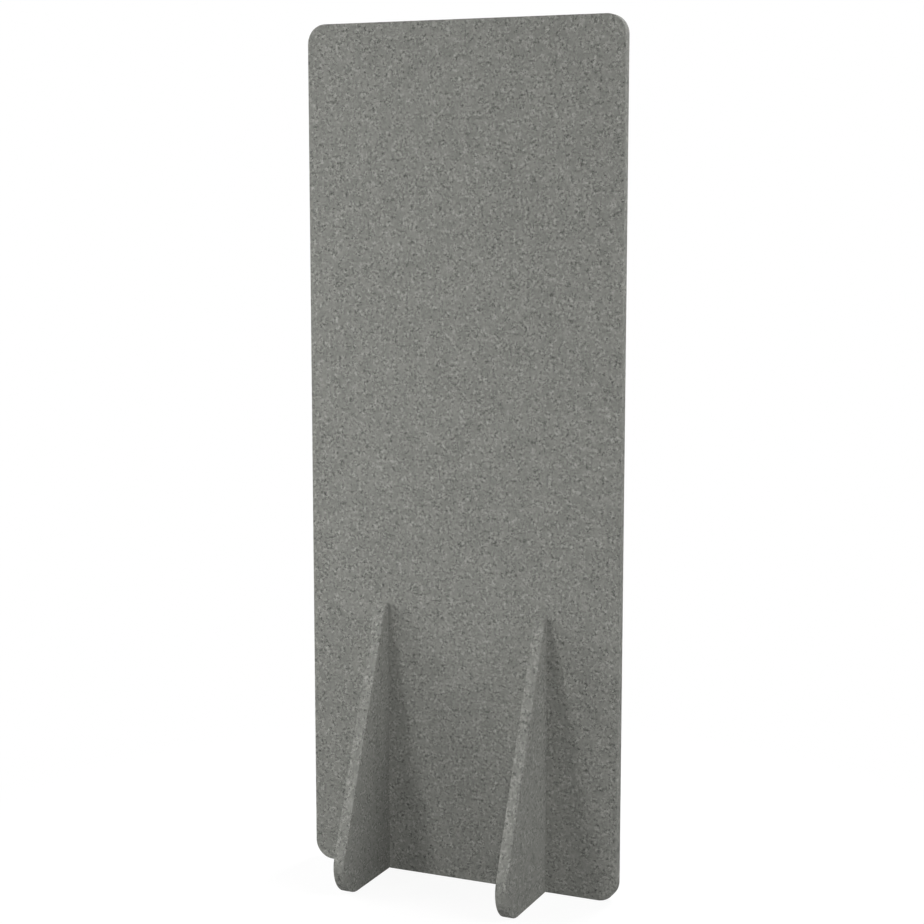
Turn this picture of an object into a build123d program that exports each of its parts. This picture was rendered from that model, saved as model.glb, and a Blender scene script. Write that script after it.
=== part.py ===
from build123d import *
import math
import os

# Free-standing acoustic divider screen: one upright board of pressed polyester felt and two
# feet cut from the same felt. Board and feet are slotted into each other like crossed cards,
# and nothing else holds them. Millimetres, +Z up, the board's front facing -Y, the origin on
# the floor in the middle of the screen.

# Board
board_height = 1800.0
board_width = 700.0
board_thickness = 24.0
board_corner_radius = 40.0

# Feet
foot_height = 588.0
foot_length = 455.0
foot_thickness = 24.0
foot_spacing = 364.0
toe_radius = 65.0
tip_land = 12.4
tip_radius = 15.0

# Crossed slots: the board is cut from its lower edge up to the lap, each foot from its tips
# down to the lap
lap_height = 294.0
lap_clearance = 0.3
slot_clearance = 0.3

# Every outer cut edge is slightly eased
edge_radius = 1.5

# How far a slot's cutting body runs past the felt
cut_overrun = 5.0


def felt_sheet(outline, thickness):
    """A flat piece of felt with this outline, centred on the outline's plane, edges eased."""
    sheet = extrude(outline, amount=thickness / 2, both=True)
    flat_sides = sheet.faces().sort_by(SortBy.AREA)[-2:]
    return fillet(flat_sides.edges(), edge_radius)


def board_outline():
    """The board from the front: an upright rectangle with four round corners."""
    rectangle = RectangleRounded(board_width, board_height, board_corner_radius)
    return Plane.XZ * Pos(0, board_height / 2) * rectangle


def board_slot(side):
    """What is cut from the board for the foot on this side, -1 left or 1 right."""
    width = foot_thickness + 2 * slot_clearance
    depth = board_thickness + 2 * cut_overrun
    height = lap_height + cut_overrun
    slot = Box(width, depth, height, align=(Align.CENTER, Align.CENTER, Align.MAX))
    return Pos(side * foot_spacing / 2, 0, lap_height) * slot


def board():
    """The upright board, with a slot for each foot open at its lower edge."""
    return felt_sheet(board_outline(), board_thickness) - board_slot(-1) - board_slot(1)


def toe_turn(toe_centre, tip_corner):
    """The angle that the toe's arc turns through before it runs into the sloping edge, which
    is the tangent from the toe to the tip's corner."""
    reach = tip_corner - toe_centre
    meeting = math.atan2(reach.Y, reach.X) - math.acos(toe_radius / reach.length)
    return 90 + math.degrees(meeting)


def foot_outline():
    """A foot from the side: flat underneath, a round toe in front and behind, and two edges
    that lean in to the blunt tips on both faces of the board."""
    toe_centre = Vector(foot_length / 2 - toe_radius, toe_radius)
    tip_corner = Vector(board_thickness / 2 + slot_clearance + tip_land, foot_height)
    with BuildSketch(Plane.YZ) as outline:
        with BuildLine():
            underside = Line((-toe_centre.X, 0), (toe_centre.X, 0))
            toe = JernArc(underside @ 1, underside % 1, toe_radius, toe_turn(toe_centre, tip_corner))
            slope = Line(toe @ 1, tip_corner)
            mirror([toe, slope], about=Plane.YZ)
            Line(tip_corner, (-tip_corner.X, tip_corner.Y))
        make_face()
        fillet(outline.vertices().group_by(Axis.Y)[-1], tip_radius)
    return outline.sketch


def foot_slot():
    """What is cut from a foot for the board: a slot from between the tips down to the lap."""
    width = foot_thickness + 2 * cut_overrun
    depth = board_thickness + 2 * slot_clearance
    height = foot_height - lap_height + lap_clearance + cut_overrun
    slot = Box(width, depth, height, align=(Align.CENTER, Align.CENTER, Align.MIN))
    return Pos(0, 0, lap_height - lap_clearance) * slot


def foot(side):
    """One of the two like feet, on this side of the board, -1 left or 1 right."""
    upright = felt_sheet(foot_outline(), foot_thickness) - foot_slot()
    return Pos(side * foot_spacing / 2, 0, 0) * upright


os.makedirs("parts", exist_ok=True)
export_step(board(), "parts/board.step")
export_step(foot(-1), "parts/left_foot.step")
export_step(foot(1), "parts/right_foot.step")
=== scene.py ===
import math

import bpy
import numpy as np
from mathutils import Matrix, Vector
from mathutils.geometry import delaunay_2d_cdt


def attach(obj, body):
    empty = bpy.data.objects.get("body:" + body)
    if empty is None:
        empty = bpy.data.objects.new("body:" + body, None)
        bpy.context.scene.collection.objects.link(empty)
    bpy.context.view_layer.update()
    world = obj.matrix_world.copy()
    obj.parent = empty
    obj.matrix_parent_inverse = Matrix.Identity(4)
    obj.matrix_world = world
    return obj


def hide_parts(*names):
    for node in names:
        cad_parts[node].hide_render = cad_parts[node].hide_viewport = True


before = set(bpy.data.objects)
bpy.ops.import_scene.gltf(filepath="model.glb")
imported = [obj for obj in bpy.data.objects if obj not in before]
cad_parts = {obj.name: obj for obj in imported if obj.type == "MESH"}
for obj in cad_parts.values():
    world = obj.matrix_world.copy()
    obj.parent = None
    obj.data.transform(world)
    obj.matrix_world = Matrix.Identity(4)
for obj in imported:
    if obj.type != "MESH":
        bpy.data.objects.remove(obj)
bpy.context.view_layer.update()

# A free-standing acoustic divider screen of pressed polyester felt: two sloping feet, and an
# upright board that drops onto them. Metres, the board's front towards -Y, the floor at z = 0.

# Camera: it stands to the right of the screen's front, a little above its middle, and looks
# slightly down.
camera_place = (1.6138, -3.6257, 1.4541)
camera_turn = 24.034
camera_dip = 7.961
camera_data = bpy.data.cameras.new("camera")
camera_data.lens = 75.06
camera_data.sensor_width = 36.0
camera = bpy.data.objects.new("camera", camera_data)
camera.location = camera_place
camera.rotation_euler = (math.radians(90 - camera_dip), 0, math.radians(camera_turn))
bpy.context.scene.collection.objects.link(camera)
bpy.context.scene.camera = camera


# Feet: two like pieces cut from 24 mm felt, standing on edge across the board. Each is flat
# underneath, has a round toe in front and behind, and leans in to two blunt tips. The slot
# between the tips holds the board by itself, with no glue or screw.
felt_thickness = 0.024
foot_height = 0.588
foot_length = 0.455
foot_spacing = 0.364
toe_radius = 0.065
tip_land = 0.0124
tip_radius = 0.015
lap_height = 0.294
slot_clearance = 0.0003
edge_radius = 0.0015

# How finely felt is meshed: along its cuts, over its faces, and through its thickness. No
# point on a face comes nearer to the rim than rim_gap.
cut_step = 0.004
fewest_round_steps = 8
face_step = 0.010
rim_gap = 0.6 * face_step
ease_steps = 4
wall_rows = 6
sharp_degrees = 40


def straight_cut(start, end):
    """Points along a straight cut, without its end."""
    start = Vector(start)
    end = Vector(end)
    count = max(1, round((end - start).length / cut_step))
    return [start.lerp(end, i / count) for i in range(count)]


def round_cut(centre, radius, first, last):
    """Points along a round cut from one angle to another in radians, without its end."""
    count = max(fewest_round_steps, round(radius * abs(last - first) / cut_step))
    angles = [first + (last - first) * i / count for i in range(count)]
    return [Vector(centre) + radius * Vector((math.cos(a), math.sin(a))) for a in angles]


def felt_outline(cuts, end):
    """The points of a closed outline, and whether the cut that starts at each point is eased.
    The cuts give its right half, from the lower middle to the end, and the rest mirrors it."""
    points = []
    eased = []
    for cut, is_eased in cuts:
        points += cut
        eased += [is_eased] * len(cut)
    mirrored = [Vector((-p.x, p.y)) for p in reversed(points[1:])]
    return points + [Vector(end)] + mirrored, eased + eased[::-1]


def foot_outline():
    """A foot from its side: how far behind the board's middle, and how high."""
    toe = Vector((foot_length / 2 - toe_radius, toe_radius))
    corner = Vector((felt_thickness / 2 + slot_clearance + tip_land, foot_height))
    reach = corner - toe
    toe_end = math.atan2(reach.y, reach.x) - math.acos(toe_radius / reach.length)
    slope_start = toe + toe_radius * Vector((math.cos(toe_end), math.sin(toe_end)))
    slope = (corner - slope_start).normalized()
    lean = math.atan2(slope.y, slope.x)
    setback = tip_radius * math.tan((math.pi - lean) / 2)
    tip_start = corner - setback * slope
    tip_end = corner - Vector((setback, 0))
    tip = tip_end - Vector((0, tip_radius))
    slot = felt_thickness / 2 + slot_clearance
    slot_floor = lap_height - slot_clearance
    cuts = [
        (straight_cut((0, 0), (toe.x, 0)), True),
        (round_cut(toe, toe_radius, -math.pi / 2, toe_end), True),
        (straight_cut(slope_start, tip_start), True),
        (round_cut(tip, tip_radius, lean - math.pi / 2, math.pi / 2), True),
        (straight_cut(tip_end, (slot, foot_height)), True),
        (straight_cut((slot, foot_height), (slot, slot_floor)), False),
        (straight_cut((slot, slot_floor), (0, slot_floor)), False),
    ]
    return felt_outline(cuts, (0, slot_floor))


def felt_sheet(name, outline, lay):
    """A blank of felt with this outline and eased edges. lay turns across, up and through
    the felt into the scene's x, y and z. Two attributes go with it: cut_edge is 1 on the cut
    walls and 0 on the faces, and loose is 0 where a slot's wall keeps the felt in place."""
    points, eased = outline
    outline = np.array([tuple(p) for p in points])
    run = np.roll(outline, -1, axis=0) - outline
    run /= np.linalg.norm(run, axis=1)[:, None]
    inward_after = np.stack([-run[:, 1], run[:, 0]], axis=1)
    inward_before = np.roll(inward_after, 1, axis=0)
    eased_after = np.array(eased)[:, None]
    eased_before = np.roll(eased_after, 1, axis=0)
    mitre = 1 + (inward_after * inward_before).sum(axis=1)[:, None]
    inward = np.where(eased_after, inward_after, 0) + np.where(eased_before, inward_before, 0)
    inward = np.where(eased_after & eased_before, inward / mitre, inward)
    loose = (eased_after & eased_before)[:, 0].astype(float)

    # Rows around the rim, from the felt's back face over the cut wall to its front face
    half = felt_thickness / 2
    turns = [math.pi / 2 * i / ease_steps for i in range(ease_steps + 1)]
    ease = [(edge_radius * (1 - math.sin(t)), edge_radius * (1 - math.cos(t))) for t in turns]
    wall = half - edge_radius
    rows = [(drop - half, inset, 1 - inset / edge_radius) for drop, inset in reversed(ease)]
    rows += [(wall * (2 * i / wall_rows - 1), 0, 1) for i in range(1, wall_rows)]
    rows += [(half - drop, inset, 1 - inset / edge_radius) for drop, inset in ease]
    count = len(points)
    places = []
    cut_edge = []
    for through, inset, cut in rows:
        ring = outline + inset * inward
        places.append(np.column_stack([ring, np.full(count, through)]))
        cut_edge.append(np.full(count, cut))
    looseness = [loose] * len(rows)
    faces = []
    for row in range(len(rows) - 1):
        for i in range(count):
            j = (i + 1) % count
            faces.append((row * count + i, row * count + j,
                          (row + 1) * count + j, (row + 1) * count + i))

    # Both flat faces are triangles over an even lattice, joined to the rim's first and last row
    ring = outline + edge_radius * inward
    low = ring.min(axis=0)
    high = ring.max(axis=0)
    line_step = face_step * math.sqrt(3) / 2
    lattice = []
    for line, up in enumerate(np.arange(low[1], high[1], line_step)):
        shift = face_step / 2 * (line % 2)
        line_points = [(across, up) for across in np.arange(low[0] + shift, high[0], face_step)]
        line_points = np.array(line_points)
        near = ring[np.abs(ring[:, 1] - up) < face_step]
        if len(near):
            gaps = np.linalg.norm(line_points[:, None] - near[None], axis=2).min(axis=1)
            line_points = line_points[gaps > rim_gap]
        lattice.append(line_points)
    lattice = np.vstack(lattice)
    flat = [Vector(p) for p in np.vstack([ring, lattice])]
    rim = [(i, (i + 1) % count) for i in range(count)]
    inside_rim_only = 1
    merge_distance = 1e-7
    flat, _, triangles, origins, _, _ = delaunay_2d_cdt(
        flat, rim, [], inside_rim_only, merge_distance)
    inner = [i for i, origin in enumerate(origins) if not origin or origin[0] >= count]
    inner_points = np.array([tuple(flat[i]) for i in inner])
    first_inner = len(rows) * count
    for row, through in ((0, -half), (len(rows) - 1, half)):
        number = {i: first_inner + k for k, i in enumerate(inner)}
        for i, origin in enumerate(origins):
            if i not in number:
                number[i] = row * count + origin[0]
        places.append(np.column_stack([inner_points, np.full(len(inner), through)]))
        cut_edge.append(np.zeros(len(inner)))
        looseness.append(np.ones(len(inner)))
        for triangle in triangles:
            a, b, c = (flat[i] for i in triangle)
            if ((b - a).cross(c - a) > 0) == (through > 0):
                faces.append(tuple(number[i] for i in triangle))
            else:
                faces.append(tuple(number[i] for i in reversed(triangle)))
        first_inner += len(inner)

    across, up, through = np.vstack(places).T
    mesh = bpy.data.meshes.new(name)
    mesh.from_pydata(np.column_stack(lay(across, up, through)), [], faces)
    for attribute, values in (("cut_edge", cut_edge), ("loose", looseness)):
        layer = mesh.attributes.new(attribute, "FLOAT", "POINT")
        layer.data.foreach_set("value", np.concatenate(values).astype(np.float32))
    blank = bpy.data.objects.new(name, mesh)
    bpy.context.scene.collection.objects.link(blank)
    return blank


def add_node(tree, kind, inputs=(), **settings):
    """Adds a node with these settings. inputs gives a value or an output for each socket,
    by the socket's name or number."""
    node = tree.nodes.new(kind)
    for setting, value in settings.items():
        setattr(node, setting, value)
    for socket, value in dict(inputs).items():
        if isinstance(value, bpy.types.NodeSocket):
            tree.links.new(value, node.inputs[socket])
        else:
            node.inputs[socket].default_value = value
    return node


def sums(tree, operation, *values):
    """The output of a Math node."""
    return add_node(tree, "ShaderNodeMath", enumerate(values), operation=operation).outputs[0]


def felt_shape_tree():
    """Geometry nodes that set a blank in its place and make its faces and cuts as uneven as
    pressed felt is."""
    tree = bpy.data.node_groups.new("felt shape", "GeometryNodeTree")
    tree.interface.new_socket("Geometry", in_out="OUTPUT", socket_type="NodeSocketGeometry")
    for name, kind in (
        ("Geometry", "NodeSocketGeometry"),
        ("Place", "NodeSocketVector"),
        ("Face Swell", "NodeSocketFloat"),
        ("Face Swell Size", "NodeSocketFloat"),
        ("Cut Waver", "NodeSocketFloat"),
        ("Cut Waver Size", "NodeSocketFloat"),
        ("Seed", "NodeSocketFloat"),
        ("Felt", "NodeSocketMaterial"),
    ):
        tree.interface.new_socket(name, in_out="INPUT", socket_type=kind)
    given = add_node(tree, "NodeGroupInput").outputs
    position = add_node(tree, "GeometryNodeInputPosition").outputs[0]
    normal = add_node(tree, "GeometryNodeInputNormal").outputs[0]

    def attribute(name):
        node = add_node(tree, "GeometryNodeInputNamedAttribute", data_type="FLOAT")
        node.inputs["Name"].default_value = name
        return node.outputs[0]

    def unevenness(size, height):
        per_metre = sums(tree, "DIVIDE", 1.0, given[size])
        noise = add_node(tree, "ShaderNodeTexNoise", {
            "Vector": position, "W": given["Seed"], "Scale": per_metre, "Detail": 2.0,
        }, noise_dimensions="4D").outputs[0]
        centred = sums(tree, "MULTIPLY_ADD", noise, 2.0, -1.0)
        return sums(tree, "MULTIPLY", centred, given[height])

    swell = unevenness("Face Swell Size", "Face Swell")
    waver = unevenness("Cut Waver Size", "Cut Waver")
    both = sums(tree, "MULTIPLY_ADD", waver, attribute("cut_edge"), swell)
    outwards = sums(tree, "MULTIPLY", both, attribute("loose"))
    offset = add_node(tree, "ShaderNodeVectorMath", {
        0: normal, "Scale": outwards,
    }, operation="SCALE").outputs[0]
    uneven = add_node(tree, "GeometryNodeSetPosition", {
        "Geometry": given["Geometry"], "Offset": offset,
    }).outputs[0]
    # Nothing goes below the floor that the felt stands on
    unlimited = -9.0
    above_floor = add_node(tree, "ShaderNodeVectorMath", {
        0: position, 1: (unlimited, unlimited, 0.0),
    }, operation="MAXIMUM").outputs[0]
    standing = add_node(tree, "GeometryNodeSetPosition", {
        "Geometry": uneven, "Position": above_floor,
    }).outputs[0]
    placed = add_node(tree, "GeometryNodeTransform", {
        "Geometry": standing, "Translation": given["Place"],
    }).outputs[0]
    real = add_node(tree, "GeometryNodeRealizeInstances", {"Geometry": placed}).outputs[0]
    felted = add_node(tree, "GeometryNodeSetMaterial", {
        "Geometry": real, "Material": given["Felt"],
    }).outputs[0]
    add_node(tree, "NodeGroupOutput", {0: felted})
    return tree


def shaped_felt(blank, name, values):
    """Runs the felt shape tree over a blank and returns the result as a plain mesh."""
    modifier = blank.modifiers.new("felt shape", "NODES")
    modifier.node_group = felt_shape
    for item in felt_shape.interface.items_tree:
        if item.in_out == "INPUT" and item.name in values:
            modifier[item.identifier] = values[item.name]
    seen = blank.evaluated_get(bpy.context.evaluated_depsgraph_get())
    mesh = bpy.data.meshes.new_from_object(seen)
    blank.modifiers.remove(modifier)
    mesh.name = name
    mesh.attributes.remove(mesh.attributes["loose"])
    mesh.polygons.foreach_set("use_smooth", [True] * len(mesh.polygons))
    mesh.set_sharp_from_angle(angle=math.radians(sharp_degrees))
    piece = bpy.data.objects.new(name, mesh)
    bpy.context.scene.collection.objects.link(piece)
    return piece


def felt_fibres_group():
    """The colour and height of needled melange felt: tufts of light and dark fibre, single
    fibres that run every way in the sheet, small needle pits with their shade painted in as
    darker colour, and on the cut walls the pressed layers. Its Y is the way through the sheet."""
    group = bpy.data.node_groups.new("felt fibres", "ShaderNodeTree")
    for name, kind in (
        ("Vector", "NodeSocketVector"),
        ("Cut Edge", "NodeSocketFloat"),
        ("Dark", "NodeSocketColor"),
        ("Middle", "NodeSocketColor"),
        ("Light", "NodeSocketColor"),
        ("Tuft Size", "NodeSocketFloat"),
        ("Tuft Contrast", "NodeSocketFloat"),
        ("Patch Size", "NodeSocketFloat"),
        ("Patch Contrast", "NodeSocketFloat"),
        ("Fibre Length", "NodeSocketFloat"),
        ("Fibre Width", "NodeSocketFloat"),
        ("Fibre Contrast", "NodeSocketFloat"),
        ("Pit Spacing", "NodeSocketFloat"),
        ("Pit Painted Shade", "NodeSocketFloat"),
        ("Grain Variation", "NodeSocketFloat"),
        ("Variation Size", "NodeSocketFloat"),
        ("Layer Thickness", "NodeSocketFloat"),
        ("Layer Contrast", "NodeSocketFloat"),
    ):
        group.interface.new_socket(name, in_out="INPUT", socket_type=kind)
    for name, kind in (("Color", "NodeSocketColor"), ("Height", "NodeSocketFloat")):
        group.interface.new_socket(name, in_out="OUTPUT", socket_type=kind)
    given = add_node(group, "NodeGroupInput").outputs

    def vectors(operation, *values):
        node = add_node(group, "ShaderNodeVectorMath", enumerate(values), operation=operation)
        return node.outputs[0]

    def noise(vector, scale, detail, roughness=0.5):
        return add_node(group, "ShaderNodeTexNoise", {
            "Vector": vector, "Scale": scale, "Detail": detail, "Roughness": roughness,
        })

    def ramp(value, first, last, to_first, to_last):
        return add_node(group, "ShaderNodeMapRange", {
            0: value, 1: first, 2: last, 3: to_first, 4: to_last,
        }, interpolation_type="SMOOTHSTEP").outputs[0]

    def clamped(value):
        return add_node(group, "ShaderNodeClamp", {0: value}).outputs[0]

    def blend(share, first, second):
        return add_node(group, "ShaderNodeMix", {
            0: share, 6: first, 7: second,
        }, data_type="RGBA").outputs[2]

    # Fibres aren't straight, so the whole pattern is bent a little
    bends_per_metre = 70.0
    bend_reach = (0.006, 0.006, 0.006)
    bend = noise(given["Vector"], bends_per_metre, 1.0).outputs[1]
    bend = vectors("SUBTRACT", bend, (0.5, 0.5, 0.5))
    bent = vectors("MULTIPLY_ADD", bend, bend_reach, given["Vector"])

    # Tufts, where more light or more dark fibres come together
    per_tuft = sums(group, "DIVIDE", 1.0, given["Tuft Size"])
    tufts = sums(group, "SUBTRACT", noise(bent, per_tuft, 2.0, 0.6).outputs[0], 0.5)
    per_patch = sums(group, "DIVIDE", 1.0, given["Patch Size"])
    patches = sums(group, "SUBTRACT", noise(bent, per_patch, 2.0, 0.6).outputs[0], 0.5)

    # Single fibres in four directions: thin lines along a stretched noise
    strand_turns = (14, 61, 104, 152)
    strand_edge = 0.05
    along = sums(group, "DIVIDE", 1.0, given["Fibre Length"])
    across = sums(group, "DIVIDE", 1.0, given["Fibre Width"])
    stretch = add_node(group, "ShaderNodeCombineXYZ", {
        0: along, 1: across, 2: across,
    }).outputs[0]
    strands = []
    for degrees in strand_turns:
        turned = add_node(group, "ShaderNodeVectorRotate", {
            "Vector": bent, "Angle": math.radians(degrees),
        }, rotation_type="Y_AXIS").outputs[0]
        fibre = noise(vectors("MULTIPLY", turned, stretch), 1.0, 1.0).outputs[0]
        off_line = sums(group, "ABSOLUTE", sums(group, "SUBTRACT", fibre, 0.5))
        strands.append(ramp(off_line, 0.0, strand_edge, 1.0, 0.0))
    light_strands = sums(group, "MAXIMUM", strands[0], strands[2])
    dark_strands = sums(group, "MAXIMUM", strands[1], strands[3])
    strand_shade = sums(group, "SUBTRACT", light_strands, dark_strands)
    strand_relief = sums(group, "MAXIMUM", light_strands, dark_strands)

    # Needle pits, cut into the relief and with their shade painted in as darker colour.
    #     # Each has its own depth, and some places have none.
    pit_bottom, pit_rim = 0.05, 0.34
    no_pit, whole_pit = 0.35, 0.75
    per_pit = sums(group, "DIVIDE", 1.0, given["Pit Spacing"])
    pit = add_node(group, "ShaderNodeTexVoronoi", {"Vector": bent, "Scale": per_pit})
    pit_shape = ramp(pit.outputs["Distance"], pit_bottom, pit_rim, 1.0, 0.0)
    lot = add_node(group, "ShaderNodeSeparateColor", {0: pit.outputs["Color"]}).outputs[0]
    pit_relief_and_shade = sums(group, "MULTIPLY", pit_shape, ramp(lot, no_pit, whole_pit, 0.0, 1.0))

    # Pressed layers along the cut walls, seen as streaks
    streaks_per_metre = 45.0
    per_layer = sums(group, "DIVIDE", 1.0, given["Layer Thickness"])
    flatten = add_node(group, "ShaderNodeCombineXYZ", {
        0: streaks_per_metre, 1: per_layer, 2: streaks_per_metre,
    }).outputs[0]
    layers = noise(vectors("MULTIPLY", bent, flatten), 1.0, 2.0, 0.6).outputs[0]
    layers = sums(group, "MULTIPLY", sums(group, "SUBTRACT", layers, 0.5), given["Cut Edge"])

    # The grain is calm in some places and coarse in others, as the fibres happened to mix. Its
    # noise is read from another place than the tufts', so that the two don't go together.
    calm, coarse = 0.32, 0.68
    per_area = sums(group, "DIVIDE", 1.0, given["Variation Size"])
    elsewhere = vectors("ADD", given["Vector"], (3.7, 1.9, 5.3))
    area = ramp(noise(elsewhere, per_area, 1.0).outputs[0], calm, coarse, -1.0, 1.0)
    grain_strength = sums(group, "MULTIPLY_ADD", area, given["Grain Variation"], 1.0)

    # All of it together is a shade from dark (0) through middle (0.5) to light (1)
    grain = sums(group, "MULTIPLY", tufts, given["Tuft Contrast"])
    grain = sums(group, "MULTIPLY_ADD", strand_shade, given["Fibre Contrast"], grain)
    # The needle pits' painted shade darkens the grain here
    grain = sums(group, "SUBTRACT", grain, sums(group, "MULTIPLY", pit_relief_and_shade, given["Pit Painted Shade"]))
    shade = sums(group, "MULTIPLY_ADD", grain, grain_strength, 0.5)
    shade = sums(group, "MULTIPLY_ADD", patches, given["Patch Contrast"], shade)
    shade = sums(group, "MULTIPLY_ADD", layers, given["Layer Contrast"], shade)
    to_middle = sums(group, "MULTIPLY", shade, 2.0)
    to_light = sums(group, "MULTIPLY_ADD", shade, 2.0, -1.0)
    colour = blend(clamped(to_middle), given["Dark"], given["Middle"])
    colour = blend(clamped(to_light), colour, given["Light"])

    # The same things in relief, each with its own share of the height
    height = 0.5
    for relief, share in ((tufts, 1.6), (strand_relief, 0.3), (pit_relief_and_shade, -0.8), (layers, 1.2)):
        height = sums(group, "MULTIPLY_ADD", relief, share, height)
    add_node(group, "NodeGroupOutput", {0: colour, 1: height})
    return group


def felt_material(name, turn, values):
    """Matt felt. turn, in degrees, brings the way through the sheet onto the group's Y."""
    material = bpy.data.materials.new(name)
    material.use_nodes = True
    tree = material.node_tree
    tree.nodes.clear()
    place = add_node(tree, "ShaderNodeTexCoord").outputs["Object"]
    if turn:
        place = add_node(tree, "ShaderNodeMapping", {
            "Vector": place, "Rotation": (0.0, 0.0, math.radians(turn)),
        }).outputs[0]
    cut_edge = add_node(tree, "ShaderNodeAttribute", attribute_name="cut_edge").outputs["Fac"]
    fibres = add_node(tree, "ShaderNodeGroup", node_tree=felt_fibres)
    tree.links.new(place, fibres.inputs["Vector"])
    tree.links.new(cut_edge, fibres.inputs["Cut Edge"])
    for socket, value in values.items():
        fibres.inputs[socket].default_value = value
    bump = add_node(tree, "ShaderNodeBump", {
        "Height": fibres.outputs["Height"], "Strength": 0.6, "Distance": 0.0006,
    }).outputs[0]
    surface = add_node(tree, "ShaderNodeBsdfPrincipled", {
        "Base Color": fibres.outputs["Color"],
        "Normal": bump,
        "Roughness": 0.95,
        "Specular IOR Level": 0.2,
        "Sheen Weight": 0.12,
        "Sheen Roughness": 0.6,
        "Sheen Tint": (0.8, 0.8, 0.76, 1.0),
    }).outputs[0]
    add_node(tree, "ShaderNodeOutputMaterial", {0: surface})
    return material


felt_shape = felt_shape_tree()
felt_fibres = felt_fibres_group()
felt_look = {
    "Dark": (0.062, 0.064, 0.059, 1.0),
    "Middle": (0.212, 0.215, 0.198, 1.0),
    "Light": (0.385, 0.387, 0.357, 1.0),
    "Tuft Size": 0.0063,
    "Tuft Contrast": 1.28,
    "Patch Size": 0.028,
    "Patch Contrast": 0.31,
    "Fibre Length": 0.012,
    "Fibre Width": 0.0010,
    "Fibre Contrast": 0.29,
    "Pit Spacing": 0.0055,
    "Pit Painted Shade": 0.50,
    "Grain Variation": 0.75,
    "Variation Size": 0.014,
    "Layer Thickness": 0.0016,
    "Layer Contrast": 0.35,
}
felt_unevenness = {
    "Face Swell": 0.00012,
    "Face Swell Size": 0.05,
    "Cut Waver": 0.00015,
    "Cut Waver Size": 0.009,
}
foot_felt = felt_material("foot felt", 90, felt_look)
foot_blank = felt_sheet("foot blank", foot_outline(),
                        lambda across, up, through: (through, across, up))
for node, side in (("left_foot", -1), ("right_foot", 1)):
    foot = shaped_felt(foot_blank, "felt_" + node, felt_unevenness | {
        "Place": (side * foot_spacing / 2, 0.0, 0.0),
        "Seed": 3.0 + side,
        "Felt": foot_felt,
    })
    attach(foot, node)
    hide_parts(node)
bpy.data.objects.remove(foot_blank)


# Board: one upright sheet of the same felt with four round corners. Two slots run up from its
# lower edge to half the feet's height, and it slides down over the feet until all three stand
# on the floor.
board_height = 1.800
board_width = 0.700
board_corner_radius = 0.040


def board_outline():
    """The board from the front: across it from its middle, and up."""
    side = board_width / 2
    corner = side - board_corner_radius
    upper = board_height - board_corner_radius
    slot_left = foot_spacing / 2 - felt_thickness / 2 - slot_clearance
    slot_right = foot_spacing / 2 + felt_thickness / 2 + slot_clearance
    quarter = math.pi / 2
    cuts = [
        (straight_cut((0, 0), (slot_left, 0)), True),
        (straight_cut((slot_left, 0), (slot_left, lap_height)), False),
        (straight_cut((slot_left, lap_height), (slot_right, lap_height)), False),
        (straight_cut((slot_right, lap_height), (slot_right, 0)), False),
        (straight_cut((slot_right, 0), (corner, 0)), True),
        (round_cut((corner, board_corner_radius), board_corner_radius, -quarter, 0), True),
        (straight_cut((side, board_corner_radius), (side, upper)), True),
        (round_cut((corner, upper), board_corner_radius, 0, quarter), True),
        (straight_cut((corner, board_height), (0, board_height)), True),
    ]
    return felt_outline(cuts, (0, board_height))


board_felt = felt_material("board felt", 0, felt_look)
board_blank = felt_sheet("board blank", board_outline(),
                         lambda across, up, through: (across, -through, up))
board = shaped_felt(board_blank, "felt_board", felt_unevenness | {
    "Place": (0.0, 0.0, 0.0),
    "Seed": 3.0,
    "Felt": board_felt,
})
bpy.data.objects.remove(board_blank)
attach(board, "board")
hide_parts("board")


# Floor and surround: a plain pale floor and a white room around it. The camera sees both as
# white, and the floor keeps a faint shadow under the screen. The floor lies just below the
# felt, so that the two never share a plane.
floor_reach = 9.0
floor_level = -0.0004
floor_shade = (0.10, 0.10, 0.10, 1.0)
floor_glow = 0.92
shadow_fades_from = 0.6
shadow_gone_at = 1.3
room_light = 0.06
pure_white = (1.0, 1.0, 1.0, 1.0)


def shows_background(tree):
    """1 for rays that show what is around the screen: from the camera, in gloss or in glass."""
    path = add_node(tree, "ShaderNodeLightPath").outputs
    seen = sums(tree, "MAXIMUM", path["Is Camera Ray"], path["Is Glossy Ray"])
    return sums(tree, "MAXIMUM", seen, path["Is Transmission Ray"])


def mixed_shader(tree, share, first, second):
    return add_node(tree, "ShaderNodeMixShader", {0: share, 1: first, 2: second}).outputs[0]


floor_corners = ((-1, -1), (1, -1), (1, 1), (-1, 1))
floor_mesh = bpy.data.meshes.new("floor")
floor_mesh.from_pydata([
    (floor_reach * x, floor_reach * y, floor_level) for x, y in floor_corners
], [], [(0, 1, 2, 3)])
floor = bpy.data.objects.new("floor", floor_mesh)
bpy.context.scene.collection.objects.link(floor)
floor_paint = bpy.data.materials.new("pale floor")
floor_paint.use_nodes = True
tree = floor_paint.node_tree
tree.nodes.clear()
matt = add_node(tree, "ShaderNodeBsdfDiffuse", {"Color": floor_shade}).outputs[0]
glow = add_node(tree, "ShaderNodeEmission", {"Strength": floor_glow}).outputs[0]
near_floor = add_node(tree, "ShaderNodeAddShader", {0: matt, 1: glow}).outputs[0]
far_floor = add_node(tree, "ShaderNodeEmission", {"Strength": 1.0}).outputs[0]
place = add_node(tree, "ShaderNodeTexCoord").outputs["Object"]
away = add_node(tree, "ShaderNodeVectorMath", {0: place}, operation="LENGTH").outputs["Value"]
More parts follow.
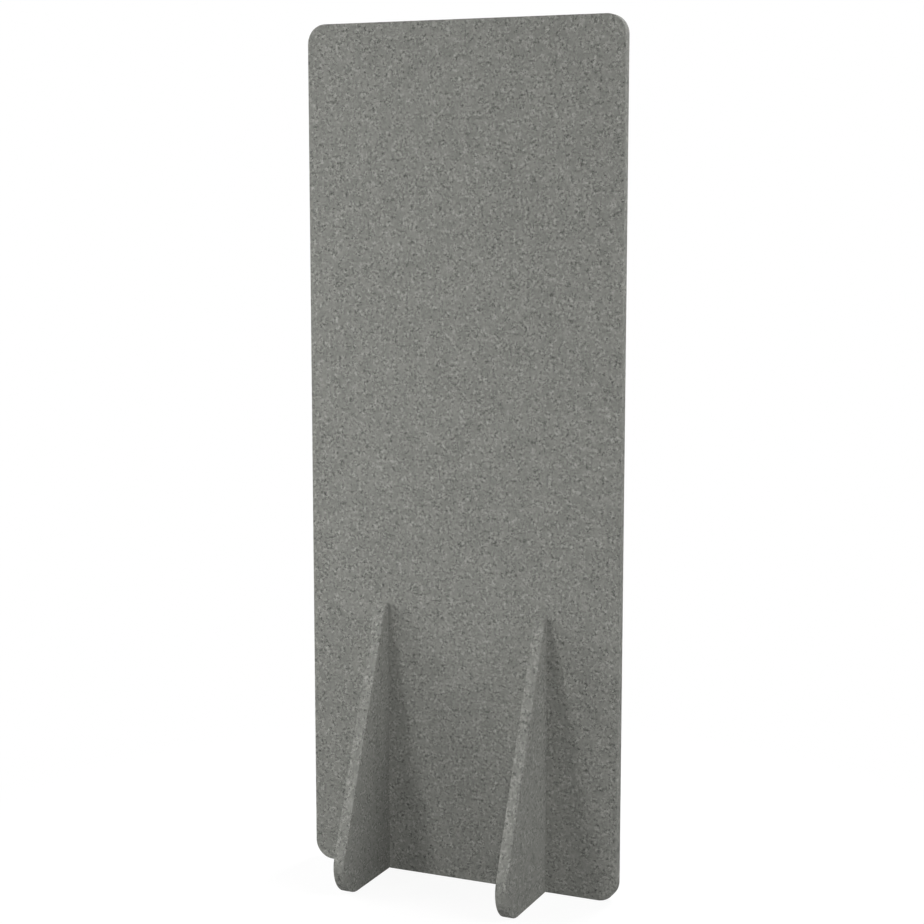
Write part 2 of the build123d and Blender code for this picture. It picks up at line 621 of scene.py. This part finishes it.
far = add_node(tree, "ShaderNodeMapRange", {
    0: away, 1: shadow_fades_from, 2: shadow_gone_at, 3: 0.0, 4: 1.0,
}, interpolation_type="SMOOTHSTEP").outputs[0]
seen_floor = mixed_shader(tree, far, near_floor, far_floor)
floor_surface = mixed_shader(tree, shows_background(tree), matt, seen_floor)
add_node(tree, "ShaderNodeOutputMaterial", {0: floor_surface})
floor_mesh.materials.append(floor_paint)

world = bpy.data.worlds.new("white surround")
bpy.context.scene.world = world
world.use_nodes = True
tree = world.node_tree
tree.nodes.clear()
room, white = (
    add_node(tree, "ShaderNodeBackground", {"Color": pure_white, "Strength": strength}).outputs[0]
    for strength in (room_light, 1.0)
)
surround = mixed_shader(tree, shows_background(tree), room, white)
add_node(tree, "ShaderNodeOutputWorld", {0: surround})

# Lamps: soft ones on both sides and in front, of which the small one to the left gives the
# feet their shadows on the board, and a high one behind for the screen's back and top edge.
lit_middle = Vector((0, 0, 0.8))

# Degrees round from the front and above lit_middle, metres away and across, and level: how
# bright the lamp alone makes a white surface that faces it at lit_middle
for name, turn, rise, distance, size, level in (
    ("left lamp", -88, 8, 5.0, 3.0, 0.65),
    ("left front lamp", -65, 15, 2.6, 1.3, 0.42),
    ("shadow lamp", -27, 3, 3.0, 0.7, 0.274),
    ("front lamp", 20, 0, 5.0, 1.2, 0.395),
    ("right front lamp", 75, 35, 5.0, 2.0, 0.28),
    ("right lamp", 88, 20, 5.0, 2.0, 0.30),
    ("back lamp", 165, 42, 4.0, 2.0, 0.95),
):
    lamp_data = bpy.data.lights.new(name, "AREA")
    lamp_data.shape = "DISK"
    lamp_data.size = size
    lamp_data.energy = level * (math.pi * distance) ** 2
    lamp = bpy.data.objects.new(name, lamp_data)
    turn = math.radians(turn)
    rise = math.radians(rise)
    flat = math.cos(rise)
    towards = Vector((math.sin(turn) * flat, -math.cos(turn) * flat, math.sin(rise)))
    lamp.location = lit_middle + distance * towards
    lamp.rotation_euler = towards.to_track_quat("Z", "Y").to_euler()
    bpy.context.scene.collection.objects.link(lamp)

bpy.context.scene.view_settings.view_transform = "Standard"
